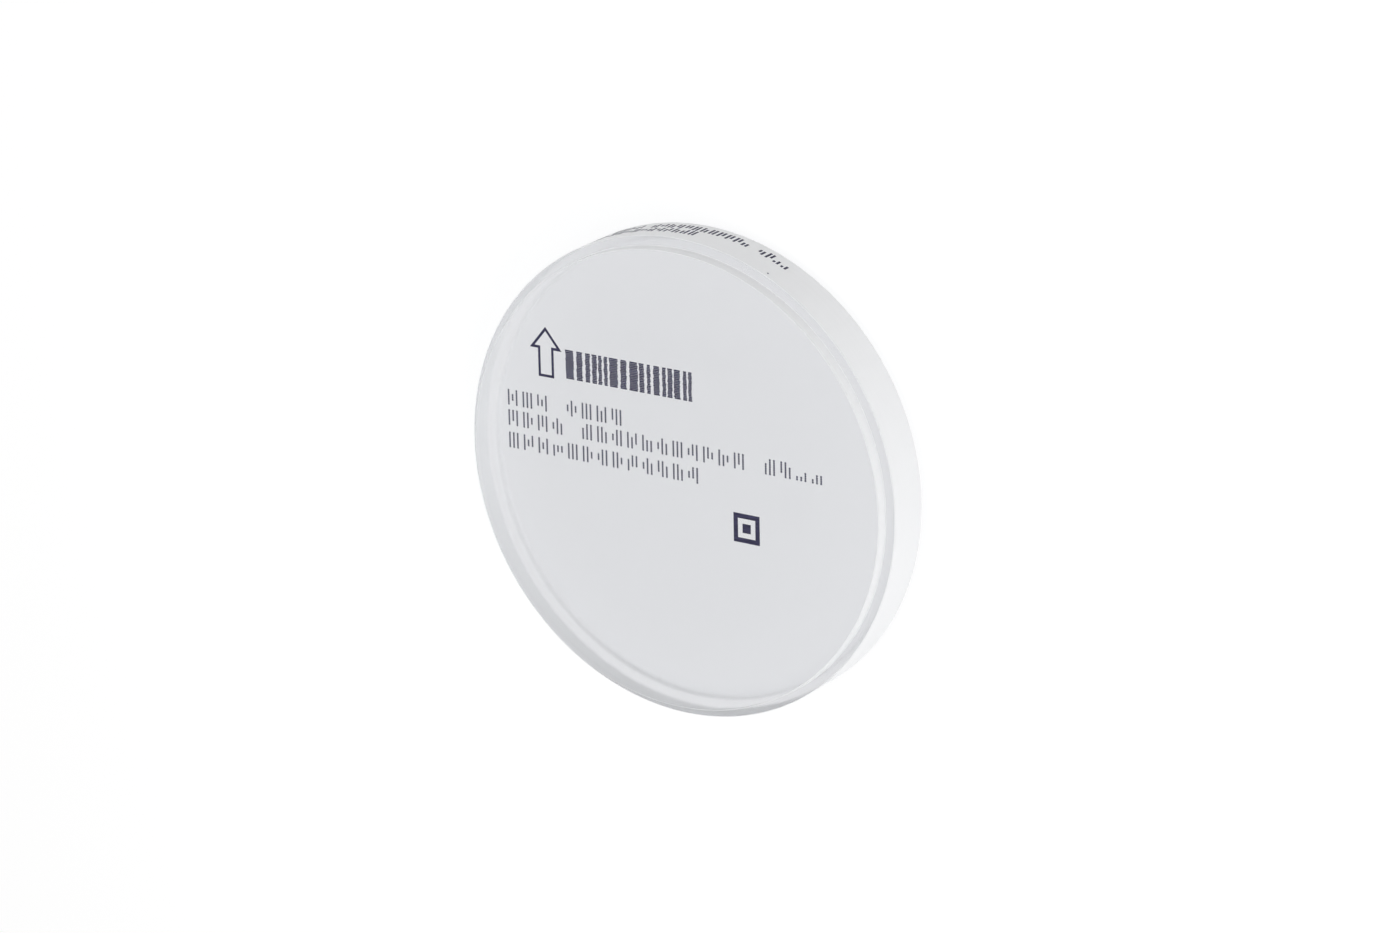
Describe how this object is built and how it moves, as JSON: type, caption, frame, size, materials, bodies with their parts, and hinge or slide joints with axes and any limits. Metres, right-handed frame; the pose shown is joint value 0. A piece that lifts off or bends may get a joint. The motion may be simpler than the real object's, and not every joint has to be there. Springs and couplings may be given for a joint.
{
  "type": "dental milling disc",
  "caption": "Clear acrylic blank for milling dental prostheses: a round plate whose stepped rim is clamped in a ring holder.",
  "frame": {"origin": "centre of the back face, on the surface that the disc lies on", "axes": "+Z along the disc's axis, out through the printed front face; +X to the right and +Y to the top of the print, seen from the front"},
  "size_m": [0.0984, 0.0984, 0.015],
  "materials": {
    "clear_acrylic": "gloss",
    "dark_ink": "satin"
  },
  "bodies": {
    "root": {"milling_disc": "clear_acrylic"}
  },
  "joints": []
}
